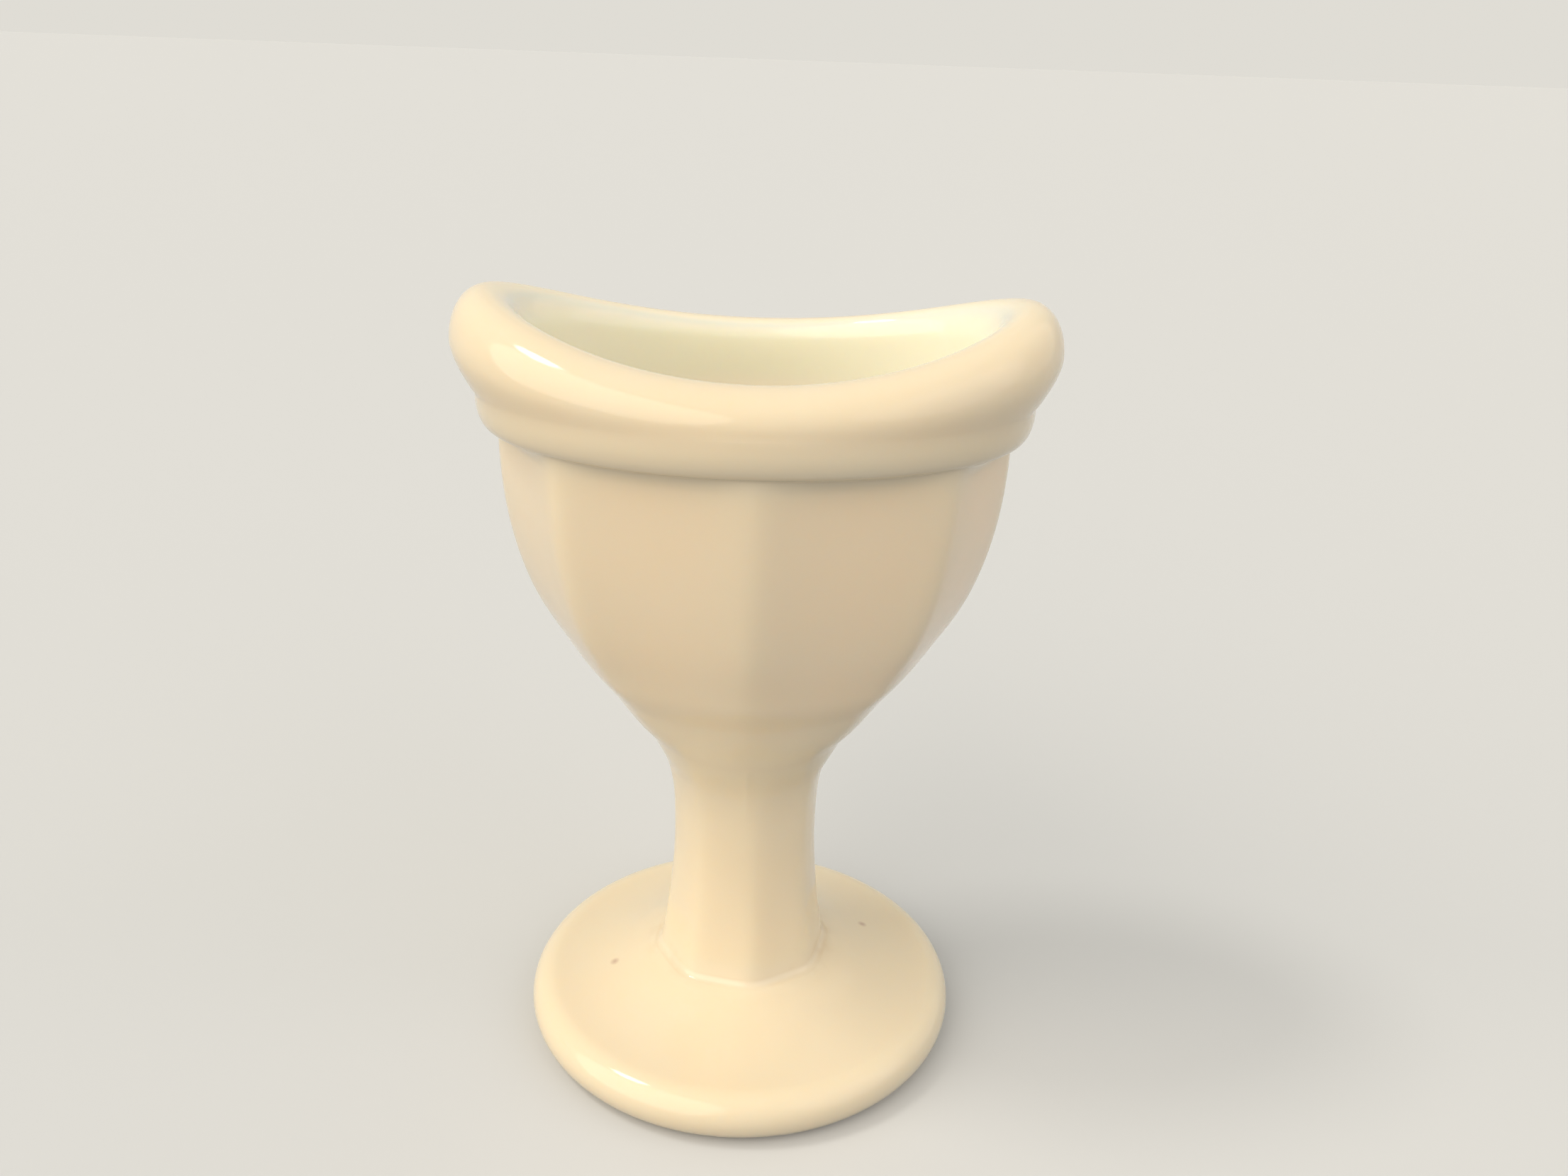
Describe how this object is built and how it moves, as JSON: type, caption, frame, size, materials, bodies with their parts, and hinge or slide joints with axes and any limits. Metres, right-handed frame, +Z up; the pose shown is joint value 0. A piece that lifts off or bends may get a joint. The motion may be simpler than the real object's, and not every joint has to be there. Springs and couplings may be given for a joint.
{
  "type": "eye bath",
  "caption": "Pedestal eye bath in pressed opal glass: an oval panelled cup with a rolled, saddle-shaped lip that fits the eye socket, on a faceted stem and a round foot.",
  "frame": {"origin": "middle of the foot's underside, on the surface that it stands on", "axes": "+Z up along the stem, +X from horn to horn of the lip, the cup's long way, and +Y across its narrow way"},
  "size_m": [0.0462, 0.0376, 0.0645],
  "materials": {
    "opal_glass": "gloss"
  },
  "bodies": {
    "root": {"rim": "opal_glass", "bowl": "opal_glass", "stem": "opal_glass", "foot": "opal_glass"}
  },
  "joints": []
}
